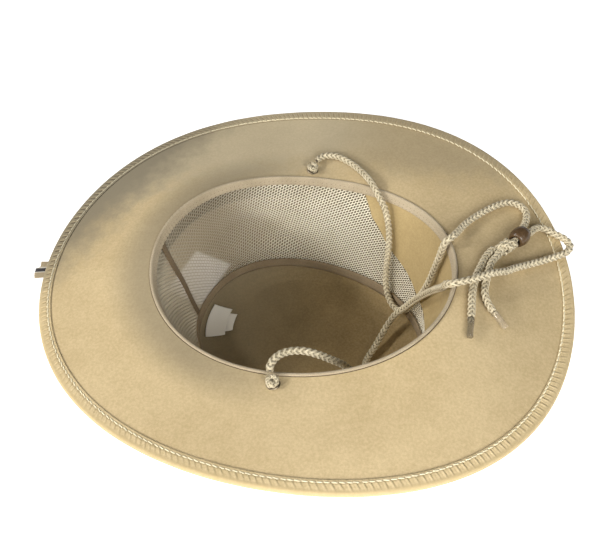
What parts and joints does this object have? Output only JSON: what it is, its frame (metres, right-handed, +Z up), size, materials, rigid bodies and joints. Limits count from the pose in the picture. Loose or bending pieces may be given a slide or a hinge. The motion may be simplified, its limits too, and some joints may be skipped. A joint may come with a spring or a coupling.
{
  "type": "outback hat",
  "caption": "Wide-brimmed outback hat with a net crown, bound suede brim, ribbon band and a braided chin cord with a sliding wooden bead, lying upside down on its crown.",
  "frame": {"origin": "middle of the head opening, on the outer face of the crown's flat top, where the hat rests", "axes": "+Z up, from the crown's top towards the brim, because the hat lies upside down; +X towards the front of the hat"},
  "size_m": [0.3662, 0.3086, 0.1137],
  "materials": {
    "suede": "sand suede, matt",
    "panel_suede": "tan suede, matt",
    "net": "beige net",
    "tape": "woven beige tape",
    "dark_tape": "narrow brown tape",
    "ribbon": "khaki ribbon with a black stripe",
    "cord": "braided cream cord",
    "wood": "dark turned wood",
    "brass": "dull brass",
    "clear_plastic": "clear tip",
    "label": "plain off-white woven label"
  },
  "bodies": {
    "root": {"brim": "suede", "edge_binding": "suede", "crown_top": "suede", "front_panel": "panel_suede", "crown_net_far": "net", "crown_net_near": "net", "sweatband_tape": "tape", "crown_top_tape": "tape", "back_seam_tape": "dark_tape", "hat_band": "ribbon", "band_tail": "ribbon", "eyelet_far": "brass", "eyelet_near": "brass", "knot_far": "cord", "knot_near": "cord", "chin_cord_far": "cord", "chin_cord_near": "cord", "cord_tail_long": "cord", "cord_tail_short": "cord", "slider_knot": "cord", "bead": "wood", "aglet_long": "clear_plastic", "aglet_short": "clear_plastic", "label_large": "label", "label_small": "label"}
  },
  "joints": []
}
